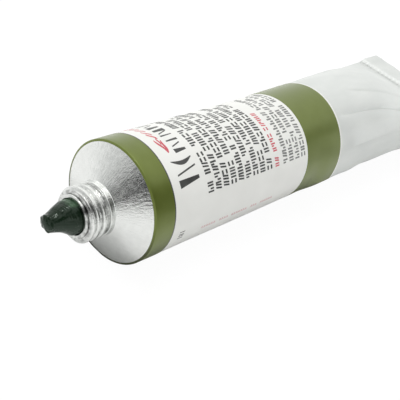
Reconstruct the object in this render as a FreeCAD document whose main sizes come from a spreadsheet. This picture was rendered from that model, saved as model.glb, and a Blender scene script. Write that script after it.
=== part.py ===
import FreeCAD, Part
import math
import os
import Sketcher

# A collapsible aluminium paint tube lying on a table with its cap off.
#
# Every sub-part is drawn in the tube's own frame: the X axis is the tube's axis,
# x = 0 is the rim where the shoulder meets the wall, the mouth is on the -X side and
# the folded tail on the +X side, and the fold lies along Y.  Each sub-part's Placement
# then moves it into the part frame, whose origin is under the middle of the tube on
# the table.  All sizes are in millimetres.

DIMENSIONS = {
    # radii of the layers, from the printed surface inwards
    "tube_radius": 12.50,
    "print_film": 0.04,
    "enamel_film": 0.06,
    "wall": 0.15,
    "lacquer_film": 0.05,
    "rest_flat_depth": 0.08,
    # neck and shoulder; reaches are measured forward from the rim
    "neck_reach": 9.63,
    "mouth_radius": 3.55,
    "lip_radius": 4.35,
    "lip_bevel": 0.38,
    "thread_root_radius": 4.62,
    "thread_crest_radius": 5.40,
    "thread_pitch": 1.50,
    "thread_start_reach": 5.00,
    "thread_bevel_reach": 8.70,
    "ridge_crest_front": 0.18,
    "ridge_crest_rear": 0.30,
    "ridge_foot_front": 0.48,
    "ridge_foot_rear": 0.60,
    "ridge_foot_depth": 0.15,
    "collar_front_reach": 4.60,
    "collar_rear_reach": 3.50,
    "rim_bevel": 0.10,
    "bore_end_reach": 3.64,
    "shoulder_inside_radius": 11.33,
    "wall_start": 0.15,
    # printing along the tube
    "coat_start": 0.00,
    "front_band_end": 4.80,
    "edge_line_width": 0.25,
    "rear_band_start": 47.00,
    "rear_band_end": 59.70,
    "enamel_end": 60.20,
    # taper and folded tail
    "taper_start": 60.40,
    "taper_end": 116.90,
    "fold_front": 117.50,
    "tail_end": 126.40,
    "fold_gap": 0.05,
    "fold_hem": 0.90,
    "seal_margin": 0.50,
    # paint
    "bead_reach": 16.00,
    "plug_clearance": 0.05,
    "plug_rear": 3.90,
    "well_rear": 4.00,
}

# The taper leaves the round section gently and then closes like a wedge.  With the
# distance along it going from 0 to 1, its half height falls as
# (1 - distance ^ fullness) ^ sharpness.
TAPER_FULLNESS = 2.5
TAPER_SHARPNESS = 1.25
TAPER_STATIONS = (0.0, 0.12, 0.25, 0.38, 0.50, 0.62, 0.73, 0.83, 0.91, 0.96, 0.985, 1.0)

# Outline of the paint standing out of the mouth: how far along from the mouth to the
# tip, and the radius as a share of the mouth's radius.
BEAD_OUTLINE = ((0.08, 1.02), (0.30, 0.96), (0.52, 0.85), (0.74, 0.68), (0.90, 0.45), (0.97, 0.22))

# Printed rows.  Angles are in degrees about the tube's axis, from the +Y side over the
# top towards the -Y side; a row starts at the high angle and runs towards the low one.
ROW_START_ANGLE = 153.0
WORD_GAP_ANGLE = 3.0
NAME_ROW_START = 14.15
NAME_ROW_PITCH = 2.30
NAME_ROW_HEIGHT = 1.62
NAME_ROW_WORDS = (
    (14, 25, 22, 31), (34, 23, 27), (24, 20, 33, 12), (25, 28, 18, 26), (27, 7, 27, 30),
    (18, 36, 24), (27, 26, 21, 19), (24, 26, 34), (14, 26, 29, 17),
)
CODE_ROW_START = 35.3
CODE_ROW_HEIGHT = 1.30
CODE_ROW_WORDS = (12, 19, 25)
FOOTER_ROW_START = 38.1
FOOTER_ROW_PITCH = 2.15
FOOTER_ROW_HEIGHT = 1.45
FOOTER_ROW_WORDS = ((32, 24, 36), (26, 35, 22), (30, 24, 18, 20), (34, 26, 30))
HEADING_FOOT = 12.5
HEADING_TALL_HEIGHT = 5.4
HEADING_HEIGHT = 2.9
HEADING_START_ANGLE = 140.0
HEADING_TALL_ANGLE = 27.0
HEADING_GAP_ANGLE = 1.0
HEADING_BLOCK_ANGLES = (19, 15, 19, 20, 16)
FLOURISH_START = 7.2
FLOURISH_HEIGHT = 1.1
FLOURISH_ANGLES = (104.0, 2.0)
BATCH_MARK_START = 7.0
BATCH_MARK_HEIGHT = 1.9
BATCH_MARK_ANGLES = (192.0, 188.5, 185.0)
BATCH_MARK_WIDTH_ANGLE = 2.2
SIDE_LINE_START = 14.0
SIDE_LINE_WORDS = (4.6, 3.0, 5.4, 2.4, 4.2)
SIDE_LINE_GAP = 0.8
SIDE_LINE_ANGLE = 191.0
SIDE_LINE_HEIGHT_ANGLE = 3.2

ALONG_X = FreeCAD.Rotation(FreeCAD.Vector(0, 1, 0), 90)
ACROSS_X = FreeCAD.Rotation(FreeCAD.Vector(1, 1, 1), 120)

doc = FreeCAD.newDocument("paint_tube")
sheet = doc.addObject("Spreadsheet::Sheet", "dims")
sub_parts = []


def fill_sheet(values):
    """Write each value as a plain number beside its name, and give the cell that alias."""
    first_row = 1 + sum(1 for cell in sheet.getUsedCells() if cell.startswith("B"))
    for row, (name, value) in enumerate(values.items(), start=first_row):
        sheet.set(f"A{row}", name)
        sheet.set(f"B{row}", repr(round(value, 5)))
        sheet.setAlias(f"B{row}", name)
    doc.recompute()


def ellipse_half_width(half_height, perimeter):
    """Half width of an ellipse with this half height and perimeter (Ramanujan's rule)."""
    low, high = half_height, perimeter / 4
    for _ in range(60):
        width = (low + high) / 2
        squash = ((width - half_height) / (width + half_height)) ** 2
        stretch = 1 + 3 * squash / (10 + math.sqrt(4 - 3 * squash))
        shorter = math.pi * (width + half_height) * stretch < perimeter
        low, high = (width, high) if shorter else (low, width)
    return (low + high) / 2


def taper_values(dims):
    """Place, half height and half width of the wall at each station of the taper."""
    radius = dims["tube_radius"] - dims["print_film"] - dims["enamel_film"]
    length = dims["taper_end"] - dims["taper_start"]
    values = {}
    for index, share in enumerate(TAPER_STATIONS):
        open_share = (1 - share ** TAPER_FULLNESS) ** TAPER_SHARPNESS
        half_height = dims["wall"] + (radius - dims["wall"]) * open_share
        values[f"station_{index}_place"] = dims["taper_start"] + share * length
        values[f"station_{index}_high"] = half_height
        values[f"station_{index}_wide"] = ellipse_half_width(half_height, 2 * math.pi * radius)
    values["flat_width"] = math.pi * radius
    return values


def bind(thing, **expressions):
    """Bind properties of an object to the sheet; a double underscore stands for a dot."""
    for name, expression in expressions.items():
        thing.setExpression(name.replace("__", "."), expression)
    return thing


def primitive(kind, name, rotation=None, **expressions):
    """A Part primitive whose sizes and place are bound to the sheet."""
    thing = doc.addObject(kind, name)
    if rotation:
        thing.Placement = FreeCAD.Placement(FreeCAD.Vector(), rotation)
    return bind(thing, **expressions)


def combine(kind, name, base, tool):
    """A Part::Cut or Part::Common of two objects."""
    thing = doc.addObject(kind, name)
    thing.Base = base
    thing.Tool = tool
    return thing


def finish(thing, label):
    """Name a sub-part and move it from the tube's frame into the part frame."""
    thing.Label = label
    bind(thing, Placement__Base__x="dims.rim_place", Placement__Base__z="dims.axis_height")
    sub_parts.append(thing)


def new_body(label):
    return doc.addObject("PartDesign::Body", f"{label}_body")


def new_sketch(body, name, plane):
    """A sketch attached to one of its own body's origin planes."""
    sketch = body.newObject("Sketcher::SketchObject", name)
    planes = [item for item in body.Origin.OriginFeatures if item.Role == plane]
    sketch.AttachmentSupport = [(planes[0], "")]
    sketch.MapMode = "FlatFace"
    return sketch


def value_of(expression):
    return float(sheet.evalExpression(expression.replace("dims.", "")))


def fix_point(sketch, geometry, end, place):
    """Hold one end of a line at a place given by two expressions."""
    for kind, expression in zip(("DistanceX", "DistanceY"), place):
        constraint = Sketcher.Constraint(kind, geometry, end, value_of(expression))
        index = sketch.addConstraint(constraint)
        sketch.setExpression(f"Constraints[{index}]", expression)


def draw_outline(sketch, corners):
    """Close an outline of straight edges through corners given as (x, y) expressions."""
    spots = [FreeCAD.Vector(value_of(x), value_of(y), 0) for x, y in corners]
    count = len(spots)
    for index in range(count):
        sketch.addGeometry(Part.LineSegment(spots[index], spots[(index + 1) % count]))
    for index in range(count):
        following = (index + 1) % count
        sketch.addConstraint(Sketcher.Constraint("Coincident", index, 2, following, 1))
        fix_point(sketch, index, 1, corners[index])


def threaded_head():
    """The rigid head: lip, threaded neck, plain collar and conical shoulder, with the bore."""
    body = new_body("threaded_head")
    profile = new_sketch(body, "head_profile", "XY_Plane")
    wall_radius = "dims.tube_radius - dims.print_film - dims.enamel_film"
    draw_outline(profile, (
        ("-dims.neck_reach", "dims.mouth_radius"),
        ("-dims.neck_reach", "dims.lip_radius - dims.lip_bevel"),
        ("-dims.neck_reach + dims.lip_bevel", "dims.lip_radius"),
        ("-dims.neck_reach + dims.lip_bevel", "dims.thread_root_radius"),
        ("-dims.collar_front_reach", "dims.thread_root_radius"),
        ("-dims.collar_front_reach", "dims.thread_crest_radius"),
        ("-dims.collar_rear_reach", "dims.thread_crest_radius"),
        ("-dims.rim_bevel", f"{wall_radius} - dims.rim_bevel"),
        ("0", wall_radius),
        ("dims.wall_start", wall_radius),
        ("dims.wall_start", "dims.shoulder_inside_radius"),
        ("-dims.bore_end_reach", "dims.mouth_radius"),
    ))
    turned = body.newObject("PartDesign::Revolution", "turned_head")
    turned.Profile = profile
    turned.ReferenceAxis = (profile, ["H_Axis"])
    turned.Angle = 360
    doc.recompute()

    # One thread ridge, a trapezium whose root is buried in the neck and whose first
    # turn starts against the collar.
    ridge = new_sketch(body, "ridge_profile", "XY_Plane")
    foot_radius = "dims.thread_root_radius - dims.ridge_foot_depth"
    draw_outline(ridge, (
        ("-dims.thread_start_reach + dims.ridge_foot_rear", foot_radius),
        ("-dims.thread_start_reach + dims.ridge_crest_rear", "dims.thread_crest_radius"),
        ("-dims.thread_start_reach - dims.ridge_crest_front", "dims.thread_crest_radius"),
        ("-dims.thread_start_reach - dims.ridge_foot_front", foot_radius),
    ))
    thread = body.newObject("PartDesign::AdditiveHelix", "thread")
    thread.Profile = ridge
    thread.ReferenceAxis = (ridge, ["H_Axis"])
    thread.Mode = "pitch-height-angle"
    thread.Reversed = True
    bind(
        thread, Pitch="dims.thread_pitch",
        Height="dims.neck_reach - dims.thread_start_reach - dims.lip_bevel",
    )
    doc.recompute()

    # The front of the thread is turned away to a bevel that ends at the lip.
    bevel = new_sketch(body, "bevel_profile", "XY_Plane")
    draw_outline(bevel, (
        ("-dims.neck_reach + dims.lip_bevel", "dims.lip_radius"),
        ("-dims.thread_bevel_reach", "dims.thread_crest_radius"),
        ("-dims.thread_bevel_reach", "dims.thread_crest_radius + dims.thread_pitch"),
        ("-dims.neck_reach - dims.thread_pitch", "dims.thread_crest_radius + dims.thread_pitch"),
        ("-dims.neck_reach - dims.thread_pitch", "dims.lip_radius"),
    ))
    cut = body.newObject("PartDesign::Groove", "thread_bevel")
    cut.Profile = bevel
    cut.ReferenceAxis = (bevel, ["H_Axis"])
    cut.Angle = 360
    finish(body, "threaded_head")
    return body


def tube_envelope(name, inset, last_station):
    """Everything inside the wall's outer surface moved in by an inset: a cylinder, the
    taper lofted behind it, and the narrow flat that the full tube rests on."""
    radius = f"dims.tube_radius - dims.print_film - dims.enamel_film - ({inset})"
    straight = primitive(
        "Part::Cylinder", f"{name}_straight", ALONG_X, Radius=radius,
        Height="dims.taper_start - dims.wall_start", Placement__Base__x="dims.wall_start",
    )
    sections = []
    for index in range(last_station + 1):
        sections.append(primitive(
            "Part::Ellipse", f"{name}_section_{index}", ACROSS_X,
            MajorRadius=f"dims.station_{index}_wide - ({inset})",
            MinorRadius=f"dims.station_{index}_high - ({inset})",
            Placement__Base__x=f"dims.station_{index}_place",
        ))
    taper = doc.addObject("Part::Loft", f"{name}_taper")
    taper.Sections = sections
    taper.Solid = True
    whole = doc.addObject("Part::MultiFuse", f"{name}_whole")
    whole.Shapes = [straight, taper]
    above = primitive(
        "Part::Box", f"{name}_above_rest", Length="2 * dims.tail_end", Width="4 * dims.tube_radius",
        Height="4 * dims.tube_radius", Placement__Base__x="-dims.tail_end / 2",
        Placement__Base__y="-2 * dims.tube_radius",
        Placement__Base__z=f"-({radius} - dims.rest_flat_depth)",
    )
    return combine("Part::Common", name, whole, above)


def lining(label, outer, inner):
    """A thin shell between two envelopes."""
    shell = combine("Part::Cut", label + "_shell", outer, inner)
    finish(shell, label)


def paint_fill(inside):
    """The paint that fills the tube, with the well that the moving paint slides in."""
    cone = primitive(
        "Part::Cone", "shoulder_paint", ALONG_X, Radius1="dims.mouth_radius",
        Radius2="dims.shoulder_inside_radius", Height="dims.bore_end_reach + dims.wall_start",
        Placement__Base__x="-dims.bore_end_reach",
    )
    whole = doc.addObject("Part::MultiFuse", "paint_whole")
    whole.Shapes = [inside, cone]
    well = primitive(
        "Part::Cylinder", "paint_well", ALONG_X, Radius="dims.mouth_radius",
        Height="dims.well_rear + dims.neck_reach", Placement__Base__x="-dims.neck_reach",
    )
    finish(combine("Part::Cut", "paint_fill_shape", whole, well), "paint_fill")


def paint_bead():
    """The paint in the bore and the soft, torn bead that it forms outside the mouth."""
    body = new_body("paint_bead")
    profile = new_sketch(body, "bead_profile", "XY_Plane")
    outside = "(dims.bead_reach - dims.neck_reach)"
    corners = [
        ("dims.plug_rear", "0"),
        ("dims.plug_rear", "dims.mouth_radius - dims.plug_clearance"),
        ("-dims.neck_reach", "dims.mouth_radius - dims.plug_clearance"),
    ]
    for share, swell in BEAD_OUTLINE:
        corners.append((f"-dims.neck_reach - {share} * {outside}", f"{swell} * dims.mouth_radius"))
    corners.append(("-dims.bead_reach", "0"))
    draw_outline(profile, corners)
    turned = body.newObject("PartDesign::Revolution", "turned_bead")
    turned.Profile = profile
    turned.ReferenceAxis = (profile, ["H_Axis"])
    turned.Angle = 360
    finish(body, "paint_bead")


def coat(label, inset, film, start, end):
    """A film round the straight wall, flattened underneath like the wall.

    The inset is how far the film's outer surface lies inside the printed surface.
    """
    body = new_body(label)
    profile = new_sketch(body, f"{label}_profile", "YZ_Plane")
    for depth in (inset, f"{inset} + {film}"):
        radius = f"dims.tube_radius - ({depth})"
        half_flat = f"sqrt(2 * ({radius}) * dims.rest_flat_depth - dims.rest_flat_depth ^ 2)"
        flat_level = f"-({radius} - dims.rest_flat_depth)"
        size, half, level = value_of(radius), value_of(half_flat), value_of(flat_level)
        left, right = FreeCAD.Vector(-half, level, 0), FreeCAD.Vector(half, level, 0)
        circle = Part.Circle(FreeCAD.Vector(), FreeCAD.Vector(0, 0, 1), size)
        from_right = math.atan2(level, half)
        arc = profile.addGeometry(Part.ArcOfCircle(circle, from_right, math.pi - from_right))
        flat = profile.addGeometry(Part.LineSegment(left, right))
        profile.addConstraint(Sketcher.Constraint("Coincident", arc, 1, flat, 2))
        profile.addConstraint(Sketcher.Constraint("Coincident", arc, 2, flat, 1))
        profile.addConstraint(Sketcher.Constraint("Coincident", arc, 3, -1, 1))
        profile.addConstraint(Sketcher.Constraint("Horizontal", flat))
        fix_point(profile, flat, 1, (f"-{half_flat}", flat_level))
    sleeve = body.newObject("PartDesign::Pad", f"{label}_pad")
    sleeve.Profile = profile
    bind(sleeve, Length=f"({end}) - ({start})")
    finish(body, label)
    bind(body, Placement__Base__x=f"dims.rim_place + {start}")


def fold_layer(name, low, high, front, rear):
    """One flat layer of the fold, given by its levels and ends."""
    return primitive(
        "Part::Box", name, Length=f"({rear}) - ({front})", Width="dims.flat_width",
        Height=f"({high}) - ({low})", Placement__Base__x=front,
        Placement__Base__y="-dims.flat_width / 2", Placement__Base__z=low,
    )


def fold_turn(name, bulge, low, high, place):
    """Half a round bar along the fold, bulging rearwards (1) or forwards (-1)."""
    across = FreeCAD.Rotation(FreeCAD.Vector(1, 0, 0), 90)
    facing = FreeCAD.Rotation(FreeCAD.Vector(0, 0, 1), -90 * bulge)
    half_round = primitive(
        "Part::Cylinder", name, across * facing,
        Radius=f"(({high}) - ({low})) / 2", Height="dims.flat_width",
        Placement__Base__x=place, Placement__Base__y="dims.flat_width / 2",
        Placement__Base__z=f"(({high}) + ({low})) / 2",
    )
    half_round.Angle = 180
    return half_round


def tail_crimp():
    """The flattened end of the wall, folded over twice: the free edge lies inside the fold."""
    inner_low = "dims.wall + dims.fold_gap"
    inner_high = f"{inner_low} + 2 * dims.wall"
    outer_low = f"{inner_high} + dims.fold_gap"
    outer_high = f"{outer_low} + 2 * dims.wall"
    rear_turn = f"dims.tail_end - (dims.wall + {outer_high}) / 2"
    front_turn = f"dims.fold_front + ({outer_high} - ({inner_low})) / 2"
    rear_round = fold_turn("rear_turn", 1, "-dims.wall", outer_high, rear_turn)
    rear_hollow = fold_turn("rear_hollow", 1, "dims.wall", outer_low, rear_turn)
    fold = doc.addObject("Part::MultiFuse", "fold")
    fold.Shapes = [
        fold_layer("first_layer", "-dims.wall", "dims.wall", "dims.taper_end", rear_turn),
        fold_layer("hem_layer", inner_low, inner_high, front_turn, "dims.tail_end - dims.fold_hem"),
        fold_layer("outer_layer", outer_low, outer_high, front_turn, rear_turn),
        fold_turn("front_turn", -1, inner_low, outer_high, front_turn),
        combine("Part::Cut", "rear_bend", rear_round, rear_hollow),
    ]
    finish(fold, "tail_crimp")


def end_seal():
    """The strip of sealing compound between the first two layers of the fold."""
    strip = primitive(
        "Part::Box", "end_seal_strip",
        Length="dims.tail_end - dims.fold_hem - dims.fold_front - dims.seal_margin",
        Width="dims.flat_width - 2 * dims.seal_margin", Height="dims.fold_gap",
    )
    finish(strip, "end_seal")
    bind(
        strip, Placement__Base__x="dims.rim_place + dims.fold_front + dims.seal_margin",
        Placement__Base__y="dims.seal_margin - dims.flat_width / 2",
        Placement__Base__z="dims.axis_height + dims.wall",
    )


def printed_patch(start, height, from_angle, span):
    """A patch of ink on the enamel: a thin rectangle swept part of the way round the tube."""
    outer = sheet.tube_radius
    inner = outer - sheet.print_film
    corners = [
        FreeCAD.Vector(start, inner, 0), FreeCAD.Vector(start + height, inner, 0),
        FreeCAD.Vector(start + height, outer, 0), FreeCAD.Vector(start, outer, 0),
    ]
    face = Part.Face(Part.makePolygon(corners + corners[:1]))
    axis = FreeCAD.Vector(1, 0, 0)
    patch = face.revolve(FreeCAD.Vector(), axis, span)
    patch.rotate(FreeCAD.Vector(), axis, from_angle - span)
    return patch


def printed_row(start, height, first_angle, spans):
    """One row of word-sized patches, from the first angle downwards."""
    patches = []
    angle = first_angle
    for span in spans:
        patches.append(printed_patch(start, height, angle, span))
        angle -= span + WORD_GAP_ANGLE
    return patches


def print_node(label, patches):
    """Ink curves round the tube, which no sketch or primitive gives, so it is one shape."""
    ink = doc.addObject("Part::Feature", f"{label}_ink")
    ink.Shape = Part.makeCompound(patches)
    finish(ink, label)


def printing():
    """The greeked heading, rows and marks on the white label."""
    tall_start = HEADING_FOOT - HEADING_TALL_HEIGHT
    heading = [printed_patch(tall_start, HEADING_TALL_HEIGHT, HEADING_START_ANGLE, HEADING_TALL_ANGLE)]
    after_tall = HEADING_START_ANGLE - HEADING_TALL_ANGLE - HEADING_GAP_ANGLE
    heading += printed_row(HEADING_FOOT - HEADING_HEIGHT, HEADING_HEIGHT, after_tall, HEADING_BLOCK_ANGLES)
    print_node("heading_print", heading)
    first, last = FLOURISH_ANGLES
    flourish = printed_patch(FLOURISH_START, FLOURISH_HEIGHT, first, first - last)
    print_node("flourish_print", [flourish])
    rows = []
    for index, words in enumerate(NAME_ROW_WORDS):
        start = NAME_ROW_START + index * NAME_ROW_PITCH
        rows += printed_row(start, NAME_ROW_HEIGHT, ROW_START_ANGLE, words)
    print_node("name_rows_print", rows)
    code = printed_row(CODE_ROW_START, CODE_ROW_HEIGHT, ROW_START_ANGLE, CODE_ROW_WORDS)
    print_node("code_row_print", code)
    rows = []
    for index, words in enumerate(FOOTER_ROW_WORDS):
        start = FOOTER_ROW_START + index * FOOTER_ROW_PITCH
        rows += printed_row(start, FOOTER_ROW_HEIGHT, ROW_START_ANGLE, words)
    print_node("footer_rows_print", rows)
    marks = [
        printed_patch(BATCH_MARK_START, BATCH_MARK_HEIGHT, angle, BATCH_MARK_WIDTH_ANGLE)
        for angle in BATCH_MARK_ANGLES
    ]
    print_node("batch_mark_print", marks)
    words = []
    place = SIDE_LINE_START
    for length in SIDE_LINE_WORDS:
        words.append(printed_patch(place, length, SIDE_LINE_ANGLE, SIDE_LINE_HEIGHT_ANGLE))
        place += length + SIDE_LINE_GAP
    print_node("side_line_print", words)


def check_and_export():
    """Stop if anything failed, then write one STEP file for each sub-part."""
    doc.recompute()
    for thing in doc.Objects:
        if "Invalid" in thing.State or "Error" in thing.State:
            raise RuntimeError(f"{thing.Name} failed: {thing.State}")
    os.makedirs("parts", exist_ok=True)
    for thing in sub_parts:
        shape = thing.Shape
        if shape.isNull() or not shape.isValid() or not shape.Solids:
            raise RuntimeError(f"{thing.Label} has no valid solid")
        shape.exportStep(f"parts/{thing.Label}.step")
        box = shape.optimalBoundingBox()
        sides = ((box.XMin, box.XMax), (box.YMin, box.YMax), (box.ZMin, box.ZMax))
        extent = ", ".join(f"{low:.2f}..{high:.2f}" for low, high in sides)
        print(f"{thing.Label}: {len(shape.Solids)} solid(s), {shape.Volume:.2f} mm3, {extent}")


DIMENSIONS["axis_height"] = DIMENSIONS["tube_radius"] - DIMENSIONS["rest_flat_depth"]
DIMENSIONS["rim_place"] = -(DIMENSIONS["tail_end"] - DIMENSIONS["bead_reach"]) / 2
fill_sheet(DIMENSIONS)
fill_sheet(taper_values(DIMENSIONS))

last = len(TAPER_STATIONS) - 1
wall_outside = tube_envelope("wall_outside", "0", last)
wall_inside = tube_envelope("wall_inside", "dims.wall", last - 1)
paint_outside = tube_envelope("paint_outside", "dims.wall + dims.lacquer_film", last - 1)

threaded_head()
lining("sleeve", wall_outside, wall_inside)
lining("inner_lacquer", wall_inside, paint_outside)
tail_crimp()
end_seal()
coat("base_enamel", "dims.print_film", "dims.enamel_film", "dims.coat_start", "dims.enamel_end")
coat("front_band", "0", "dims.print_film", "dims.coat_start", "dims.front_band_end")
coat(
    "band_edge_line", "0", "dims.print_film", "dims.front_band_end",
    "dims.front_band_end + dims.edge_line_width",
)
coat("rear_band", "0", "dims.print_film", "dims.rear_band_start", "dims.rear_band_end")
printing()
paint_fill(paint_outside)
paint_bead()
check_and_export()
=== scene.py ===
import math

import bpy
import numpy as np
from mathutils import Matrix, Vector


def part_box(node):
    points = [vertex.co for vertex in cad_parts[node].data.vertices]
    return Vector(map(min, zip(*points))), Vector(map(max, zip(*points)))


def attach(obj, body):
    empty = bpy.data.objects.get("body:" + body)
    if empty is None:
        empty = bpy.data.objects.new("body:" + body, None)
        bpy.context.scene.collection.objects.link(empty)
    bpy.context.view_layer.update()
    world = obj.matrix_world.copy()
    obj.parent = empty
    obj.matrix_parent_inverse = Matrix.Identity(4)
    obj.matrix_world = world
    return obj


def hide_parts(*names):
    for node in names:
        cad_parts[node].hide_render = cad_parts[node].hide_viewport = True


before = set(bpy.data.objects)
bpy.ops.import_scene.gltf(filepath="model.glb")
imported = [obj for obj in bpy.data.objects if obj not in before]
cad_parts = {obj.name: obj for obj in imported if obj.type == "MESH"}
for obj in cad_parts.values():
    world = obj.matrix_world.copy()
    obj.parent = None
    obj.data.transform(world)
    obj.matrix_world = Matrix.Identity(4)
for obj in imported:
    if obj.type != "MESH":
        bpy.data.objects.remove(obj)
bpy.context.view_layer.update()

# The tube is drawn in millimetres in its own frame: X is its axis with 0 at the rim,
# the mouth towards -X, the tail towards +X, and angles go from +Y (0) over the top (90)
# to -Y (180).  place() turns that into the part frame in metres.
MM = 0.001
head_low, head_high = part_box("threaded_head")
sleeve_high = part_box("sleeve")[1]
crimp_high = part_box("tail_crimp")[1]
# Where the thin wall and the printed films start, where the wall tapers to the flat tail,
# how thick the wall, lacquer and enamel are, and how far the bands' ink stands off the wall.
WALL_START = 0.15
COAT_START = 0.0
RIM = head_high.x / MM - WALL_START
AXIS_HEIGHT = (head_high.z + head_low.z) / 2 / MM
RADIUS = (head_high.y - head_low.y) / 2 / MM
TAPER_START = 60.4
TAPER_END = sleeve_high.x / MM - RIM
TAIL_END = crimp_high.x / MM - RIM
WALL = 0.15
LACQUER = 0.05
ENAMEL = 0.06
INK = 0.10
# The underside is pressed flat by this much, and the flat tail is half the girth wide.
REST_FLAT = 0.08
FLAT_WIDTH = math.pi * RADIUS

random = np.random.default_rng(7)


def place(points):
    """Millimetres in the tube's frame to metres in the part frame."""
    return (np.asarray(points, float) + (RIM, 0.0, AXIS_HEIGHT)) * MM


def smooth(value, low, high):
    share = np.clip((value - low) / (high - low), 0, 1)
    return share * share * (3 - 2 * share)


# ---------------------------------------------------------------- shape of the wall
def half_height(x):
    """Half the tube's height: its radius, then a slope that starts and ends gently."""
    share = np.clip((x - TAPER_START) / (TAPER_END - TAPER_START), 0, 1)
    return WALL + (RADIUS - WALL) * (1 - share ** 2.5) ** 1.25


def width_table():
    """Half widths of ellipses that all have the round tube's perimeter."""
    heights = np.linspace(0, RADIUS, 400)
    low, high = heights.copy(), np.full_like(heights, FLAT_WIDTH / 2)
    for _ in range(50):
        wide = (low + high) / 2
        squash = ((wide - heights) / (wide + heights)) ** 2
        around = math.pi * (wide + heights) * (1 + 3 * squash / (10 + np.sqrt(4 - 3 * squash)))
        shorter = around < 2 * math.pi * RADIUS
        low, high = np.where(shorter, wide, low), np.where(shorter, high, wide)
    return heights, (low + high) / 2


TABLE_HEIGHTS, TABLE_WIDTHS = width_table()
SWELL_START = 29.0
SWELL = 1.05


def swell(x):
    """The full tube's back rises a little where it begins to taper."""
    share = np.clip((x - SWELL_START) / (TAPER_END - SWELL_START), 0, 1)
    return SWELL * np.sin(math.pi * share ** 1.3) ** 2


# Creases and bulges of the wall: points (x, angle), height (+ a ridge, - a groove) and how
# wide they are above and below their line.
LONG_CREASE = ((60, 128), (63, 129), (67, 130.5), (73, 132), (80, 134), (88, 136), (98, 138))
CREASES = (
    (LONG_CREASE, -0.42, 0.35, 1.5),
    (((60, 166), (66, 166), (73, 166), (80, 165), (88, 161), (98, 158)), 0.42, 3.0, 0.8),
    (((68, 101), (77, 109), (84, 113), (92, 116), (100, 118)), -0.20, 0.3, 2.4),
    (((64, 52), (76, 49), (88, 46), (99, 40)), 0.20, 3.0, 3.0),
    (((51, 200), (58, 200), (66, 200), (78, 201)), 0.85, 4.4, 4.4),
    (((64, 205), (78, 204), (92, 204), (104, 203)), 0.26, 2.4, 2.4),
    (((70, 318), (84, 312), (98, 318)), -0.20, 2.6, 2.6),
    (((72, 252), (86, 258), (100, 254)), -0.16, 2.2, 2.2),
)
# Broad unevenness: whole waves round the tube, wavelength along it, where they start
# round and along it, and size.
WAVES = [
    (
        int(random.integers(1, 6)), random.uniform(14, 44),
        random.uniform(0, 6.28), random.uniform(0, 6.28), random.uniform(0.4, 1.0),
    )
    for _ in range(14)
]


def dent(x, angle):
    """How far the wall stands out of its true shape, in millimetres."""
    total = np.zeros(np.broadcast(x, angle).shape)
    for count, length, across, along, size in WAVES:
        round_it = np.cos(count * angle + across)
        total = total + size * round_it * np.sin(2 * math.pi * x / length + along)
    # The round part is nearly true, and the tapered part less so.
    total *= 0.010 + 0.055 * smooth(x, 50, 80)
    for points, height, above, below in CREASES:
        xs, angles = np.array(points, float).T
        middle = np.radians(np.interp(x, xs, angles))
        turn = (angle - middle + math.pi) % (2 * math.pi) - math.pi
        away = np.abs(turn) * RADIUS / np.where(turn < 0, above, below)
        ends = smooth(x, xs[0], xs[0] + 6) * (1 - smooth(x, xs[-1] - 10, xs[-1]))
        total = total + height * ends * np.exp(-away)
    return total * smooth(x, 0.2, 5) * (1 - smooth(x, 104, 114))


def wall(x, angle, lift):
    """Points of the surface that lies lift millimetres outside the bare wall."""
    x, angle = np.broadcast_arrays(np.asarray(x, float), np.asarray(angle, float))
    high = half_height(x)
    wide = np.interp(high, TABLE_HEIGHTS, TABLE_WIDTHS)
    high, wide = np.maximum(high + lift, 0.02), wide + lift
    y, z = wide * np.cos(angle), high * np.sin(angle)
    ny, nz = np.cos(angle) / wide, np.sin(angle) / high
    size = np.hypot(ny, nz)
    out = dent(x, angle)
    y, z = y + out * ny / size, z + out * nz / size
    z = np.maximum(z, REST_FLAT - RADIUS - lift) + swell(x)
    return np.stack([x, y, z], axis=-1)


# ---------------------------------------------------------------- mesh helpers
def make_mesh(name, points, faces, body, material, nodes, sharp=40):
    mesh = bpy.data.meshes.new(name)
    mesh.from_pydata([tuple(p) for p in place(points)], [], faces)
    mesh.validate()
    mesh.polygons.foreach_set("use_smooth", [True] * len(mesh.polygons))
    mesh.set_sharp_from_angle(angle=math.radians(sharp))
    mesh.update()
    piece = bpy.data.objects.new(name, mesh)
    bpy.context.scene.collection.objects.link(piece)
    mesh.materials.append(material)
    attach(piece, body)
    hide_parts(*nodes)
    return piece


def grid_faces(rows, columns, offset=0, close_columns=True, close_rows=False, flip=False):
    faces = []
    for i in range(rows if close_rows else rows - 1):
        for j in range(columns if close_columns else columns - 1):
            a, b = offset + i * columns + j, offset + i * columns + (j + 1) % columns
            c = offset + (i + 1) % rows * columns + (j + 1) % columns
            d = offset + (i + 1) % rows * columns + j
            faces.append((d, c, b, a) if flip else (a, b, c, d))
    return faces


def ring_angles(count):
    return np.linspace(0, 2 * math.pi, count, endpoint=False)


def shell(xs, angles, outer, inner):
    """A closed film round the tube: out along the outer surface, back along the inner."""
    xs = np.asarray(xs, float)
    outer, inner = np.broadcast_to(outer, xs.shape), np.broadcast_to(inner, xs.shape)
    outside = wall(xs[:, None], angles[None, :], outer[:, None])
    inside = wall(xs[::-1, None], angles[None, :], inner[::-1, None])
    points = np.concatenate([outside, inside]).reshape(-1, 3)
    return points, grid_faces(2 * len(xs), len(angles), close_rows=True, flip=True)


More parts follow.
